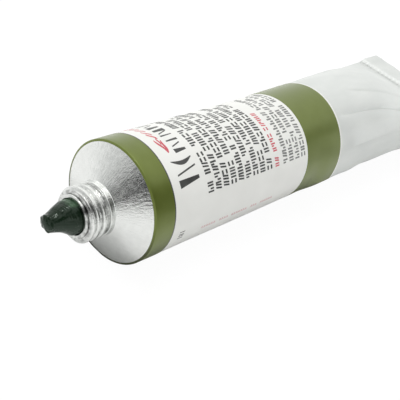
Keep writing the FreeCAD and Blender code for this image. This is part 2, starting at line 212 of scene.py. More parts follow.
def films(strips, outer=ENAMEL + 0.015, inner=ENAMEL - 0.02):
    """Small closed films of ink.  Each strip is four lists: x and angle in degrees along
    its front edge, and x and angle along its rear edge."""
    points, faces, count = [], [], 0
    for front_x, front_angle, rear_x, rear_angle in strips:
        steps = max(2, int(abs(front_angle[-1] - front_angle[0]) / 2.5) + 2)
        old = np.linspace(0, 1, len(front_x))
        new = np.linspace(0, 1, steps) if len(front_x) == 2 else old
        edges = (front_x, front_angle, rear_x, rear_angle)
        fx, fa, rx, ra = (np.interp(new, old, values) for values in edges)
        share = np.linspace(0, 1, 2 + int(np.max(np.abs(fa - ra)) / 2))
        xs = fx[:, None] + (rx - fx)[:, None] * share
        angles = np.radians(fa[:, None] + (ra - fa)[:, None] * share)
        grid = np.concatenate([wall(xs, angles, outer), wall(xs, angles, inner)[:, ::-1]], axis=1)
        columns = grid.shape[1]
        points.append(grid.reshape(-1, 3))
        faces += grid_faces(len(new), columns, offset=count, flip=True)
        faces.append(tuple(count + k for k in range(columns)))
        last = count + (len(new) - 1) * columns
        faces.append(tuple(last + k for k in reversed(range(columns))))
        count += grid.shape[0] * columns
    return np.concatenate(points), faces


def block(x0, x1, a0, a1, lean=0.0):
    """A strip of ink between two x and two angles, its rear edge turned by a lean."""
    return (x0, x0), (a0, a1), (x1, x1), (a0 + lean, a1 + lean)


# ---------------------------------------------------------------- materials
def new_material(name):
    material = bpy.data.materials.new(name)
    material.use_nodes = True
    nodes = material.node_tree.nodes
    return material, nodes, material.node_tree.links, nodes["Principled BSDF"]


def add(nodes, kind, **inputs):
    node = nodes.new(kind)
    for name, value in inputs.items():
        key = name.replace("_", " ")
        if key in node.inputs:
            node.inputs[key].default_value = value
        else:
            setattr(node, name, value)
    return node


def mapping(nodes, links, scale=(1, 1, 1)):
    """Object coordinates, stretched by a scale."""
    source = add(nodes, "ShaderNodeTexCoord")
    stretch = add(nodes, "ShaderNodeMapping")
    stretch.inputs["Scale"].default_value = scale
    links.new(source.outputs["Object"], stretch.inputs["Vector"])
    return stretch.outputs["Vector"]


def noise(nodes, links, vector, scale, detail=3.0, rough=0.5):
    node = add(nodes, "ShaderNodeTexNoise", Scale=scale, Detail=detail, Roughness=rough)
    links.new(vector, node.inputs["Vector"])
    return node.outputs["Fac"]


def spread(nodes, links, value, low, high, low_out, high_out):
    node = add(
        nodes, "ShaderNodeMapRange", From_Min=low, From_Max=high, To_Min=low_out, To_Max=high_out)
    links.new(value, node.inputs["Value"])
    return node.outputs["Result"]


def ramp(nodes, links, value, stops):
    node = nodes.new("ShaderNodeValToRGB")
    elements = node.color_ramp.elements
    for index, (spot, colour) in enumerate(stops):
        element = elements[index] if index < 2 else elements.new(spot)
        element.position = spot
        element.color = (*colour, 1)
    links.new(value, node.inputs["Fac"])
    return node.outputs["Color"]


def bump(nodes, links, height, strength, distance, after=None):
    node = add(nodes, "ShaderNodeBump", Strength=strength, Distance=distance)
    links.new(height, node.inputs["Height"])
    if after is not None:
        links.new(after, node.inputs["Normal"])
    return node.outputs["Normal"]


def combine(nodes, links, operation, *values):
    """A Math node, each input of which is a socket or a number."""
    node = add(nodes, "ShaderNodeMath", operation=operation)
    for value, entry in zip(values, node.inputs):
        if isinstance(value, bpy.types.NodeSocket):
            links.new(value, entry)
        else:
            entry.default_value = value
    return node.outputs["Value"]


def times(nodes, links, first, second):
    return combine(nodes, links, "MULTIPLY", first, second)


def scaled(nodes, links, colour, factor):
    node = add(nodes, "ShaderNodeVectorMath", operation="SCALE")
    links.new(colour, node.inputs[0])
    links.new(factor, node.inputs["Scale"])
    return node.outputs["Vector"]


def split(nodes, links, vector):
    """A vector's X, Y and Z, by name."""
    node = add(nodes, "ShaderNodeSeparateXYZ")
    links.new(vector, node.inputs["Vector"])
    return node.outputs


def join(nodes, links, x, y=None):
    """A vector from one or two numbers."""
    node = add(nodes, "ShaderNodeCombineXYZ")
    links.new(x, node.inputs["X"])
    if y is not None:
        links.new(y, node.inputs["Y"])
    return node.outputs["Vector"]


def round_the_axis(nodes, links):
    """Object coordinates, then x, the distance from the tube's axis and the angle round it."""
    spot = mapping(nodes, links)
    centred = add(nodes, "ShaderNodeVectorMath", operation="ADD")
    centred.inputs[1].default_value = (0, 0, -AXIS_HEIGHT * MM)
    links.new(spot, centred.inputs[0])
    across = add(nodes, "ShaderNodeVectorMath", operation="MULTIPLY")
    across.inputs[1].default_value = (0, 1, 1)
    links.new(centred.outputs["Vector"], across.inputs[0])
    length = add(nodes, "ShaderNodeVectorMath", operation="LENGTH")
    links.new(across.outputs["Vector"], length.inputs[0])
    parts = split(nodes, links, centred.outputs["Vector"])
    turn = combine(nodes, links, "ARCTAN2", parts["Z"], parts["Y"])
    return spot, parts["X"], length.outputs["Value"], turn


def turned_aluminium():
    """The head: turned rings, streaks down the shoulder and painted shade in the thread's grooves.
    """
    material, nodes, links, shader = new_material("turned_aluminium")
    shader.inputs["Metallic"].default_value = 1.0
    spot, x, radius, turn = round_the_axis(nodes, links)
    blotch = noise(nodes, links, spot, 900, 4)
    metal = ramp(nodes, links, blotch, ((0.3, (0.74, 0.75, 0.735)), (0.7, (0.83, 0.84, 0.825))))
    # Painted shade darkens the thread's grooves, in blotches and most of all in a streak down one
    # side near the mouth.
    away = combine(nodes, links, "SUBTRACT", turn, math.radians(127))
    beside = combine(nodes, links, "ABSOLUTE", away)
    down_one_side = spread(nodes, links, beside, 0.10, 0.24, 1.5, 0.0)
    front = spread(nodes, links, x, (RIM - 8.4) * MM, (RIM - 6.8) * MM, 1.0, 0.25)
    side_streak = times(nodes, links, down_one_side, front)
    patchiness = noise(nodes, links, spot, 800, 3, 0.6)
    patchiness = spread(nodes, links, patchiness, 0.50, 0.62, 0.35, 1.3)
    streak_and_patches = combine(nodes, links, "ADD", side_streak, patchiness)
    groove = spread(nodes, links, radius, 4.8 * MM, 5.25 * MM, 0.40, 0.0)
    groove_shade = times(nodes, links, groove, streak_and_patches)
    unshaded = spread(nodes, links, groove_shade, 0.0, 0.95, 1.0, 0.08)
    links.new(scaled(nodes, links, metal, unshaded), shader.inputs["Base Color"])
    # The neck is shinier than the shoulder and has fainter streaks.
    shoulder = spread(nodes, links, radius, 5.4 * MM, 6.0 * MM, 0.75, 1.0)
    dull = spread(nodes, links, blotch, 0.3, 0.7, 0.15, 0.26)
    links.new(times(nodes, links, dull, shoulder), shader.inputs["Roughness"])
    rings = noise(nodes, links, join(nodes, links, radius), 5200, 2)
    relief = bump(nodes, links, rings, 0.30, 0.00004)
    along = times(nodes, links, radius, 36.0)
    streaks = noise(nodes, links, join(nodes, links, turn, along), 24.0, 4, 0.6)
    worn = times(nodes, links, streaks, shoulder)
    relief = bump(nodes, links, worn, 0.55, 0.00011, relief)
    grain = noise(nodes, links, spot, 3800, 3)
    links.new(bump(nodes, links, grain, 0.40, 0.00004, relief), shader.inputs["Normal"])
    return material


def foil_aluminium():
    """The bare wall: satin and faintly blotched, with fine lines along the tube."""
    material, nodes, links, shader = new_material("foil_aluminium")
    shader.inputs["Metallic"].default_value = 0.55
    blotch = noise(nodes, links, mapping(nodes, links, (0.4, 1, 1)), 260, 4)
    stops = ((0.3, (0.665, 0.685, 0.67)), (0.7, (0.735, 0.75, 0.735)))
    links.new(ramp(nodes, links, blotch, stops), shader.inputs["Base Color"])
    links.new(spread(nodes, links, blotch, 0.3, 0.7, 0.50, 0.62), shader.inputs["Roughness"])
    drawn = noise(nodes, links, mapping(nodes, links, (0.04, 1, 1)), 3000, 2)
    relief = bump(nodes, links, drawn, 0.25, 0.00003)
    links.new(bump(nodes, links, blotch, 0.4, 0.0003, relief), shader.inputs["Normal"])
    return material


def coat(name, dark, light, roughness, vary, blotches, detail):
    """A coat whose colour and gloss vary a little, by blotches of a noise scale."""
    material, nodes, links, shader = new_material(name)
    spot = mapping(nodes, links)
    patchy = noise(nodes, links, spot, blotches, detail)
    links.new(ramp(nodes, links, patchy, ((0.3, dark), (0.7, light))), shader.inputs["Base Color"])
    uneven = spread(nodes, links, patchy, 0.3, 0.7, roughness - vary, roughness + vary)
    links.new(uneven, shader.inputs["Roughness"])
    return material, nodes, links, shader, spot


def enamel():
    material, nodes, links, shader, spot = coat(
        "white_enamel", (0.775, 0.775, 0.75), (0.815, 0.815, 0.79), 0.35, 0.05, 180, 3)
    peel = noise(nodes, links, spot, 1400, 2)
    links.new(bump(nodes, links, peel, 0.12, 0.00003), shader.inputs["Normal"])
    return material


def ink(name, dark, light, roughness, vary=0.05):
    material, nodes, links, shader, spot = coat(name, dark, light, roughness, vary, 420, 1)
    fine = noise(nodes, links, spot, 2200, 2)
    links.new(bump(nodes, links, fine, 0.03, 0.00003), shader.inputs["Normal"])
    return material


def band_ink():
    """Translucent olive ink over metal, its colour darker along its edge at the rim on the lower
    side: painted shade.
    """
    material = ink("olive_ink", (0.134, 0.171, 0.024), (0.144, 0.183, 0.029), 0.37, 0.012)
    nodes, links = material.node_tree.nodes, material.node_tree.links
    shader = nodes["Principled BSDF"]
    shader.inputs["Metallic"].default_value = 0.62
    shader.inputs["Coat Weight"].default_value = 0.50
    shader.inputs["Coat Roughness"].default_value = 0.22
    parts = split(nodes, links, mapping(nodes, links))
    # Painted shade: the ink's colour darkens along its edge at the rim, most on the lower side.
    edge = spread(nodes, links, parts["X"], (RIM - 0.05) * MM, (RIM + 0.12) * MM, 1.0, 0.0)
    low = spread(
        nodes, links, parts["Z"], (AXIS_HEIGHT - 4) * MM, (AXIS_HEIGHT + 3) * MM, 0.72, 0.0)
    rim_shade_factor = spread(nodes, links, times(nodes, links, edge, low), 0.0, 1.0, 1.0, 0.0)
    colour = shader.inputs["Base Color"].links[0].from_socket
    links.new(scaled(nodes, links, colour, rim_shade_factor), shader.inputs["Base Color"])
    return material


def oil_paint():
    """Wet paint: glossy and smooth below, wrinkled on top near the mouth, its colour paler low down
    (a painted reflection) and in a patch on top (a painted highlight).
    """
    material, nodes, links, shader = new_material("oil_paint")
    spot = mapping(nodes, links)
    parts = split(nodes, links, spot)
    top = spread(
        nodes, links, parts["Z"], (AXIS_HEIGHT + 0.8) * MM, (AXIS_HEIGHT + 2.8) * MM, 0.0, 1.0)
    # Painted reflection of the floor: the colour is paler low down.
    below = spread(
        nodes, links, parts["Z"], (AXIS_HEIGHT + 0.6) * MM, (AXIS_HEIGHT + 1.5) * MM, 0.24, 0.0)
    rear = spread(nodes, links, parts["X"], (RIM - 11.8) * MM, (RIM - 10.6) * MM, 0.0, 1.0)
    far = spread(nodes, links, parts["Y"], -2.0 * MM, -0.4 * MM, 0.0, 1.0)
    # Painted highlight: a blotchy paler patch on top near the mouth.
    upper_patch = times(nodes, links, top, times(nodes, links, rear, far))
    blotch = noise(nodes, links, spot, 900, 5, 0.6)
    painted_light = combine(nodes, links, "MULTIPLY_ADD", upper_patch, blotch, below)
    stops = (
        (0.02, (0.005, 0.013, 0.006)), (0.24, (0.018, 0.030, 0.020)), (0.60, (0.070, 0.130, 0.075)))
    links.new(ramp(nodes, links, painted_light, stops), shader.inputs["Base Color"])
    links.new(spread(nodes, links, blotch, 0.40, 0.65, 0.10, 0.30), shader.inputs["Roughness"])
    shader.inputs["Specular IOR Level"].default_value = 0.28
    shader.inputs["Specular Tint"].default_value = (0.88, 1.0, 0.90, 1)
    lumps = noise(nodes, links, spot, 1500, 3, 0.6)
    wrinkled = times(nodes, links, lumps, spread(nodes, links, top, 0.0, 1.0, 0.06, 1.0))
    links.new(bump(nodes, links, wrinkled, 0.45, 0.00022), shader.inputs["Normal"])
    return material


def plain(name, colour, roughness, metallic=0.0):
    dark = tuple(0.9 * value for value in colour)
    material, _, _, shader, _ = coat(name, dark, colour, roughness, 0.05, 500, 3)
    shader.inputs["Metallic"].default_value = metallic
    return material


TURNED = turned_aluminium()
FOIL = foil_aluminium()
WHITE = enamel()
OLIVE = band_ink()
CHARCOAL = ink("charcoal_ink", (0.034, 0.035, 0.034), (0.058, 0.060, 0.056), 0.38)
RED = ink("red_ink", (0.52, 0.075, 0.105), (0.62, 0.11, 0.14), 0.50)
PINK = ink("faint_red_ink", (0.64, 0.40, 0.42), (0.70, 0.48, 0.49), 0.50)
GREY = ink("grey_ink", (0.16, 0.165, 0.16), (0.22, 0.225, 0.22), 0.50)
PAINT = oil_paint()
GOLD = plain("gold_lacquer", (0.62, 0.45, 0.16), 0.25, 0.8)
LATEX = plain("latex", (0.70, 0.66, 0.52), 0.7)

# ---------------------------------------------------------------- wall and its films
# Angles round the tube, closer together where the sharp creases run.
RING = np.radians(np.unique(np.concatenate([
    np.arange(0, 360, 1.5), np.arange(126, 140, 0.4),
    np.arange(100, 120, 0.75), np.arange(156, 169, 0.5),
])))
tail_steps = TAPER_END - (TAPER_END - TAPER_START) * np.linspace(1, 0, 110)
wall_steps = np.concatenate([np.arange(WALL_START, TAPER_START - 0.5, 1.0), tail_steps])
points, faces = shell(wall_steps, RING, 0.0, -WALL)
make_mesh("tube_wall", points, faces, "tube", FOIL, ["sleeve"])

lacquer_steps = wall_steps[half_height(wall_steps) > 0.6]
points, faces = shell(lacquer_steps, RING, -WALL, -WALL - LACQUER)
make_mesh("inner_lining", points, faces, "tube", GOLD, ["inner_lacquer"])

ENAMEL_END = 60.2
film_steps = np.concatenate([np.arange(COAT_START + 0.03, ENAMEL_END, 0.8), [ENAMEL_END]])
points, faces = shell(film_steps, RING, ENAMEL, 0.0)
make_mesh("white_coat", points, faces, "tube", WHITE, ["base_enamel"])

# Each printed band: its node, where it starts and ends, the lift of its inner side, and
# its slot and material.  The front band also turns over the rim.
for name, start, end, inner, slot, material in (
    ("front_band", COAT_START, 4.80, 0.0, "olive_ink", OLIVE),
    ("band_edge_line", 4.80, 5.05, 0.04, "charcoal_ink", CHARCOAL),
    ("rear_band", 47.0, 59.7, 0.04, "olive_ink", OLIVE),
):
    steps = np.linspace(start, end, max(3, int((end - start) / 0.8)))
    outer = np.full_like(steps, INK)
    inner = np.full_like(steps, inner)
    if name == "front_band":
        steps = np.concatenate([(-0.24, -0.20, -0.13, -0.05), steps])
        outer = np.concatenate([(-0.24, -0.10, 0.03, 0.09), outer])
        inner = np.concatenate([(-0.36, -0.34, -0.25, -0.12), inner])
    points, faces = shell(steps, RING, outer, inner)
    make_mesh(name + "_ink", points, faces, "tube", material, [name])


# ---------------------------------------------------------------- printed rows
def word(start, height, angle, span, letter):
    """A word of loose strokes that fill its letters' places, starting at an angle and
    going down.  None of them touch, so they make no letters."""
    strips = []
    end = start + height
    for index in range(int(round(span / letter))):
        spot = angle - index * letter
        thick = letter * random.uniform(0.26, 0.32)
        second = spot - letter * random.uniform(0.44, 0.50)
        kind = random.integers(0, 6)
        if kind in (0, 1):
            strips += [block(start, end, spot, spot - thick)]
            strips += [block(start, end, second, second - thick)]
        elif kind == 2:
            strips += [block(start, end, spot, spot - thick)]
            strips += [block(start + 0.42 * height, end, second, second - thick)]
        elif kind == 3:
            strips += [block(start, start + 0.58 * height, spot, spot - thick)]
            strips += [block(start, end, second, second - thick)]
        elif kind == 4:
            lean = 0.22 * letter
            strips += [block(start, end, spot - lean, spot - thick - lean, lean)]
            strips += [block(start, end, second - lean, second - thick - lean, lean)]
        else:
            strips += [block(start, start + 0.30 * height, spot, spot - 0.74 * letter)]
            strips += [block(end - 0.30 * height, end, spot, spot - 0.74 * letter)]
    return strips


def row(start, height, angle, words, letter, gap=3.0):
    boxes = []
    for span in words:
        boxes += word(start, height, angle, span, letter)
        angle -= span + gap
    return boxes


# Each row is the spans in degrees of its words, which start at ROW_ANGLE and go down.
NAME_ROWS = (
    (14, 25, 22, 31), (34, 23, 27), (24, 20, 33, 12), (25, 28, 18, 26), (27, 7, 27, 30),
    (18, 36, 24), (27, 26, 21, 19), (24, 26, 34), (14, 26, 29, 17),
)
FOOTER_ROWS = ((32, 24, 36), (26, 35, 22), (30, 24, 18, 20), (34, 26, 30))
ROW_ANGLE = 153.0

strips = []
for index, words in enumerate(NAME_ROWS):
    strips += row(14.15 + 2.30 * index, 1.62, ROW_ANGLE, words, 5.6)
points, faces = films(strips)
make_mesh("name_rows", points, faces, "tube", CHARCOAL, ["name_rows_print"])

points, faces = films(row(35.3, 1.30, ROW_ANGLE, (12, 19, 25), 4.8))
make_mesh("code_row", points, faces, "tube", RED, ["code_row_print"])

strips = []
for index, words in enumerate(FOOTER_ROWS):
    strips += row(38.1 + 2.15 * index, 1.45, ROW_ANGLE, words, 5.8)
points, faces = films(strips)
make_mesh("footer_rows", points, faces, "tube", GREY, ["footer_rows_print"])

# The heading is one tall group of strokes and then smaller groups.  A small group is its
# span in degrees and the width of its first and last stroke.
HEADING_REAR = 12.5
SMALL_FRONT = 9.6
SMALL_GROUPS = ((17, 4.6, 2.2), (14, 2.0, 4.4), (17, 5.0, 2.0), (18, 2.2, 4.4), (14, 4.4, 2.0))
SMALL_GAP = 3


def stroke(start, end, angle, thick, bow=0.0, lean=0.0, taper=0.0):
    """A pen stroke along the tube: straight and tapering, leaning, or bowed."""
    along = np.linspace(0, 1, 13)
    middle = angle + bow * np.sin(math.pi * along) + lean * (along - 0.5)
    body = 0.2 + 0.8 * np.sin(math.pi * along) if bow else 1 - taper * along
    xs = start + (end - start) * along
    return xs, middle + thick / 2 * body, xs, middle - thick / 2 * body


strips = [
    stroke(7.1, HEADING_REAR, 136.0, 7.0, taper=0.55, lean=-2),
    stroke(7.3, HEADING_REAR, 126.5, 1.5, lean=-5),
    stroke(7.1, HEADING_REAR, 115.5, 4.2, bow=3.5),
]
angle = 109.0
for span, first, last in SMALL_GROUPS:
    strips += [
        stroke(SMALL_FRONT, HEADING_REAR, angle - 2.0, first, taper=0.5),
        stroke(SMALL_FRONT + 0.3, HEADING_REAR - 0.3, angle - 0.50 * span, 1.3, lean=-3.0),
        stroke(SMALL_FRONT, HEADING_REAR, angle - span + 2.5, 0.7 * last, taper=-0.6),
    ]
    angle -= span + SMALL_GAP
points, faces = films(strips)
make_mesh("heading", points, faces, "tube", CHARCOAL, ["heading_print"])

# Brushed red strokes that overlap into a wave: angles and x at both ends, and width.
FLOURISH = (
    (107, 89, 8.05, 7.30, 0.46), (107, 91, 8.10, 8.70, 0.42), (97, 87, 7.90, 8.25, 0.30),
    (89, 78, 8.50, 7.45, 0.44), (82, 72, 8.45, 7.40, 0.34), (74, 64, 8.40, 7.40, 0.38),
    (66, 57, 8.35, 7.40, 0.32), (59, 49, 8.40, 7.45, 0.36), (51, 41, 8.30, 7.45, 0.30),
    (43, 32, 8.35, 7.50, 0.32), (34, 20, 8.20, 7.55, 0.30),
)


def brushed(first, last, start, end, wide):
    along = np.linspace(0, 1, 15)
    angles = first + (last - first) * along
    middle = start + (end - start) * along + 0.12 * np.sin(2 * math.pi * along)
    half = wide / 2 * np.sin(math.pi * along) ** 0.6 + 0.03
    return middle - half, angles, middle + half, angles


points, faces = films([brushed(*values) for values in FLOURISH])
make_mesh("flourish", points, faces, "tube", RED, ["flourish_print"])

points, faces = films([block(7.3, 8.7, a, a - 0.9) for a in (192, 189, 187, 184)])
make_mesh("batch_mark", points, faces, "tube", CHARCOAL, ["batch_mark_print"])

strips = []
# A faint line of tiny marks low on the side: where each run of them starts, and its length.
for first, length in ((14.0, 4.6), (19.4, 3.0), (23.2, 5.4), (29.4, 2.4), (32.6, 4.2)):
    for spot in np.arange(first, first + length - 0.4, 0.72):
        strips.append(block(spot, spot + 0.26, 191, 187.8))
        strips.append(block(spot + 0.36, spot + 0.58, 191, 189.6))
points, faces = films(strips)
make_mesh("side_line", points, faces, "tube", PINK, ["side_line_print"])

# ---------------------------------------------------------------- threaded head
# Lengths are reaches in front of the rim; mouth, lip, root and crest are radii.
NECK, MOUTH, LIP, BEVEL = 9.63, 3.55, 4.35, 0.38
ROOT, CREST, PITCH, THREAD_START = 4.74, 5.40, 1.50, 5.00
RUN_OUT = 0.55
COLLAR_FRONT, COLLAR_REAR = 4.60, 3.50
SHOULDER_INSIDE = 11.33


def arc(cx, cr, radius, start, end, count):
    turns = np.radians(np.linspace(start, end, count))
    return [(cx + radius * math.cos(t), cr + radius * math.sin(t)) for t in turns]


def head_profile():
    """Outline (x, radius) from the wall's inside, round the bore and lip, to the rim.
    The threaded stretch has no radius here, because it changes round the neck."""
    outline = [(WALL_START, SHOULDER_INSIDE), (-3.64, MOUTH)]
    outline += [(x, MOUTH) for x in np.linspace(-4.2, -NECK + 0.4, 10)]
    outline += arc(-NECK + 0.12, MOUTH + 0.12, 0.12, 270, 180, 6)
    outline += [(-NECK, LIP - 0.40)]
    outline += arc(-NECK + 0.25, LIP - 0.25, 0.25, 180, 90, 8)
    outline += arc(-NECK + 0.42, LIP - 0.10, 0.10, 90, 0, 4)
    outline += [(-NECK + 0.54, LIP - 0.30), (-NECK + 0.62, LIP - 0.30)]
    outline += [(x, None) for x in np.linspace(-NECK + 0.66, -COLLAR_FRONT, 100)]
    outline += arc(-COLLAR_FRONT + 0.15, CREST - 0.15, 0.15, 180, 90, 5)
    outline += [(-COLLAR_REAR - 0.3, CREST)]
    outline += arc(-COLLAR_REAR - 0.12, CREST + 0.20, 0.20, 270, 333.8, 7)
    for t in np.linspace(0.06, 0.985, 60):
        slope = (-COLLAR_REAR + t * (COLLAR_REAR - 0.1), CREST + t * (RADIUS - 0.1 - CREST))
        outline.append(slope)
    outline += arc(0.02, RADIUS - 0.12, 0.12, 150, 90, 5)
    outline += [(WALL_START, RADIUS)]
    return outline


def thread_radius(x, angle):
    """Radius of the neck where the ridge winds round it, once for each pitch."""
    reach = -x
    along = (x + THREAD_START) / PITCH - angle / (2 * math.pi)
    phase = (along + 0.5) % 1.0 - 0.5
    ridge = 1 - smooth(np.abs(phase), 0.12, 0.47)
    crest = np.minimum(CREST, LIP + (NECK - BEVEL - reach) * (CREST - LIP) / RUN_OUT)
    start = smooth(reach, COLLAR_FRONT + 0.1, COLLAR_FRONT + 0.9)
    return np.maximum(np.minimum(ROOT, crest), ROOT + (crest - ROOT) * ridge * start)


def circle(x, radius, angles):
    """Points round the tube's axis, at one radius or one for each angle."""
    around = np.broadcast_to(radius, angles.shape)
    return np.stack([np.full_like(angles, x), around * np.cos(angles), around * np.sin(angles)], -1)


ROUND = ring_angles(256)
rings = []
for x, radius in head_profile():
    rings.append(circle(x, thread_radius(x, ROUND) if radius is None else radius, ROUND))
make_mesh(
    "head", np.concatenate(rings), grid_faces(len(rings), len(ROUND), close_rows=True),
    "tube", TURNED, ["threaded_head"], sharp=32,
)

# ---------------------------------------------------------------- folded tail
FOLD_FRONT = 117.5
FOLD_HEM = 0.9
FOIL_GAP = 0.05
TOOTH_PITCH = 1.4


def fold_path():
    """Centre line (x, z) of the doubled wall: back, over, forward, under and back."""
    first, second, third = 0.0, 2 * WALL + FOIL_GAP, 4 * WALL + 2 * FOIL_GAP
    rear = TAIL_END - WALL - third / 2
    front = FOLD_FRONT + WALL + (third - second) / 2
    line = [(x, first) for x in np.linspace(TAPER_END, rear, 12)]
    line += arc(rear, third / 2, third / 2, -70, 70, 7)
    line += [(x, third) for x in np.linspace(rear, front, 24)]
    line += arc(front, (second + third) / 2, (third - second) / 2, 110, 250, 7)
    line += [(x, second) for x in np.linspace(front, TAIL_END - FOLD_HEM, 10)]
    return np.array(line)


def folded_tail():
    """The doubled wall, pressed down with fine teeth along the fold and wavy at its hem."""
    line = fold_path()
    step = np.gradient(line, axis=0)
    step /= np.linalg.norm(step, axis=1)[:, None]
    normal = np.stack([-step[:, 1], step[:, 0]], axis=1)
    thick = WALL * 0.98
    outline = np.concatenate([line + normal * thick, (line - normal * thick)[::-1]])
    across = np.linspace(-FLAT_WIDTH / 2, FLAT_WIDTH / 2, 200)
    waves = [
        (random.uniform(5, 16), random.uniform(0, 6.28), random.uniform(0.4, 1))
        for _ in range(5)
    ]
    wave = sum(
        size * np.sin(2 * math.pi * across / length + start) for length, start, size in waves)
    slices = []
    for y, lean in zip(across, wave):
        share = smooth(outline[:, 0], TAPER_END, TAIL_END)
        tooth = 0.5 + 0.5 * math.cos(2 * math.pi * y / TOOTH_PITCH)
        x = outline[:, 0] + 0.20 * lean * share
        pressed = 1 - smooth(outline[:, 0], FOLD_FRONT + 0.2, FOLD_FRONT + 1.8)
        upper = np.maximum(outline[:, 1] - WALL, 0)
        z = outline[:, 1] - upper * pressed * (0.95 - 0.28 * tooth) + 0.16 * lean * share
        slices.append(np.stack([x, np.full_like(x, y), z], axis=-1))
    points = np.array(slices)
    rows, columns = points.shape[:2]
    faces = grid_faces(rows, columns, flip=True)
    faces.append(tuple(range(columns)))
    faces.append(tuple((rows - 1) * columns + j for j in reversed(range(columns))))
    return points.reshape(-1, 3), faces


points, faces = folded_tail()
make_mesh("folded_tail", points, faces, "tube", FOIL, ["tail_crimp"], sharp=50)
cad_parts["end_seal"].data.materials.clear()
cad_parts["end_seal"].data.materials.append(LATEX)


# ---------------------------------------------------------------- paint
def paint_core():
    """The paint inside: a cone under the shoulder, then the tube's inside, with a well."""
    steps = lacquer_steps[1:-1]
    body = wall(steps[:, None], ROUND[None, :], -WALL - LACQUER - 0.02)
    rings = [
        circle(4.0, MOUTH - 0.01, ROUND),
        circle(-NECK + 6.0, MOUTH, ROUND),
        circle(WALL_START, SHOULDER_INSIDE - 0.05, ROUND),
    ]
    points = np.concatenate([np.array(rings), body]).reshape(-1, 3)
    faces = grid_faces(len(steps) + len(rings), len(ROUND), flip=True)
    count = len(points)
    faces.append(tuple(range(len(ROUND))))
    faces.append(tuple(reversed(range(count - len(ROUND), count))))
    return points, faces


points, faces = paint_core()
make_mesh("paint_inside", points, faces, "tube", PAINT, ["paint_fill"])

# The soft paint at the mouth: reach, radius and how far its middle leans (y, z).
BEAD = (
    (-3.90, 3.50, 0, 0), (8.60, 3.50, 0, 0), (9.10, 3.45, 0.02, -0.02), (9.63, 3.42, 0.05, 0.00),
    (10.3, 3.36, 0.10, 0.06), (10.9, 3.22, 0.18, 0.12), (11.5, 2.94, 0.23, 0.17),
    (12.1, 2.66, 0.27, 0.21), (12.9, 2.36, 0.27, 0.21), (13.6, 2.09, 0.24, 0.18),
    (14.3, 1.88, 0.22, 0.18), (15.0, 1.76, 0.22, 0.18), (15.3, 1.66, 0.20, 0.16),
    (15.52, 1.40, 0.18, 0.16), (15.70, 0.98, 0.15, 0.20), (15.80, 0.50, 0.12, 0.22),
)
# Lumps and tears: reach, angle, height, and their size along and round.
BEAD_LUMPS = (
    (15.6, 268, -0.70, 0.75, 34), (15.7, 338, -0.42, 0.7, 26), (14.5, 45, -0.10, 0.35, 25),
    (15.3, 62, 0.12, 0.35, 26), (15.5, 222, 0.16, 0.35, 12), (10.55, 222, 0.14, 0.30, 16),
    (9.80, 214, -0.22, 0.22, 22), (10.6, 95, 0.10, 0.35, 14), (10.9, 122, -0.14, 0.30, 16),
    (11.6, 70, -0.10, 0.4, 20), (12.7, 102, 0.10, 0.28, 9), (12.5, 118, -0.06, 0.25, 8),
    (15.2, 130, -0.12, 0.5, 14), (15.6, 165, 0.10, 0.4, 16),
)


def paint_bead():
    reach, size, side, up = np.array(BEAD).T
    steps = np.concatenate([np.linspace(-3.9, 8.4, 14), np.linspace(8.6, 15.80, 120)])
    phi = ring_angles(160)
    grid = []
    for s in steps:
        radius = np.full_like(phi, np.interp(s, reach, size))
        outside = smooth(s, 9.4, 10.8)
        ripple = 0.014 * np.sin(3 * phi + 0.9 * s) + 0.008 * np.sin(5 * phi - 1.3 * s + 1)
        upper_patch = smooth(np.cos(phi - math.radians(85)), 0.1, 0.9)
        ripple = ripple + 0.010 * upper_patch * np.sin(13 * phi + 6.1 * s) * np.sin(9 * s - 7 * phi)
        torn = 0.05 * np.sin(4 * phi + 2.2 * s) + 0.04 * np.sin(9 * phi - 5 * s)
        ripple = ripple + smooth(s, 14.4, 15.3) * torn
        radius = radius * (1 + outside * ripple)
        for spot, angle, height, length, width in BEAD_LUMPS:
            turned = (np.degrees(phi) - angle + 180) % 360 - 180
            lump = math.exp(-((s - spot) / length) ** 2) * np.exp(-(turned / width) ** 2)
            radius = radius + height * lump
        radius = np.maximum(radius, 0.05)
        y = np.interp(s, reach, side) + radius * np.cos(phi)
        z = np.interp(s, reach, up) + radius * np.sin(phi)
        grid.append(np.stack([np.full_like(phi, -s), y, z], axis=-1))
    points = np.array(grid)
    faces = grid_faces(len(steps), len(phi))
    faces.append(tuple(reversed(range(len(phi)))))
    faces.append(tuple(range((len(steps) - 1) * len(phi), len(steps) * len(phi))))
    return points.reshape(-1, 3), faces


points, faces = paint_bead()
make_mesh("paint_at_mouth", points, faces, "paint", PAINT, ["paint_bead"], sharp=80)

# ---------------------------------------------------------------- room, light and camera
FLOOR_RADIUS = 0.20
floor_mesh = bpy.data.meshes.new("floor")
floor_edge = [(FLOOR_RADIUS * math.cos(t), FLOOR_RADIUS * math.sin(t), 0) for t in ring_angles(96)]
floor_mesh.from_pydata(floor_edge, [], [tuple(range(96))])
floor = bpy.data.objects.new("floor", floor_mesh)
bpy.context.scene.collection.objects.link(floor)
# The floor's colour is darker under the tube, a painted shadow, and darker again far out on the
# near side, a painted shade, so that the tube's lower half reflects the right amount of it.
pale, nodes, links, shader = new_material("pale_floor")
parts = split(nodes, links, mapping(nodes, links))
near_side = spread(nodes, links, parts["Y"], -0.021, -0.0085, 1.0, 0.0)
far_side = spread(nodes, links, parts["Y"], 0.009, 0.028, 0.0, 1.0)
in_front = spread(nodes, links, parts["X"], -0.0610, -0.0500, 1.0, 0.0)
open_floor = combine(nodes, links, "MAXIMUM", near_side, in_front)
open_floor = combine(nodes, links, "MAXIMUM", open_floor, far_side)
shade = ramp(nodes, links, open_floor, ((0.0, (0.33, 0.33, 0.33)), (1.0, (0.90, 0.90, 0.90))))
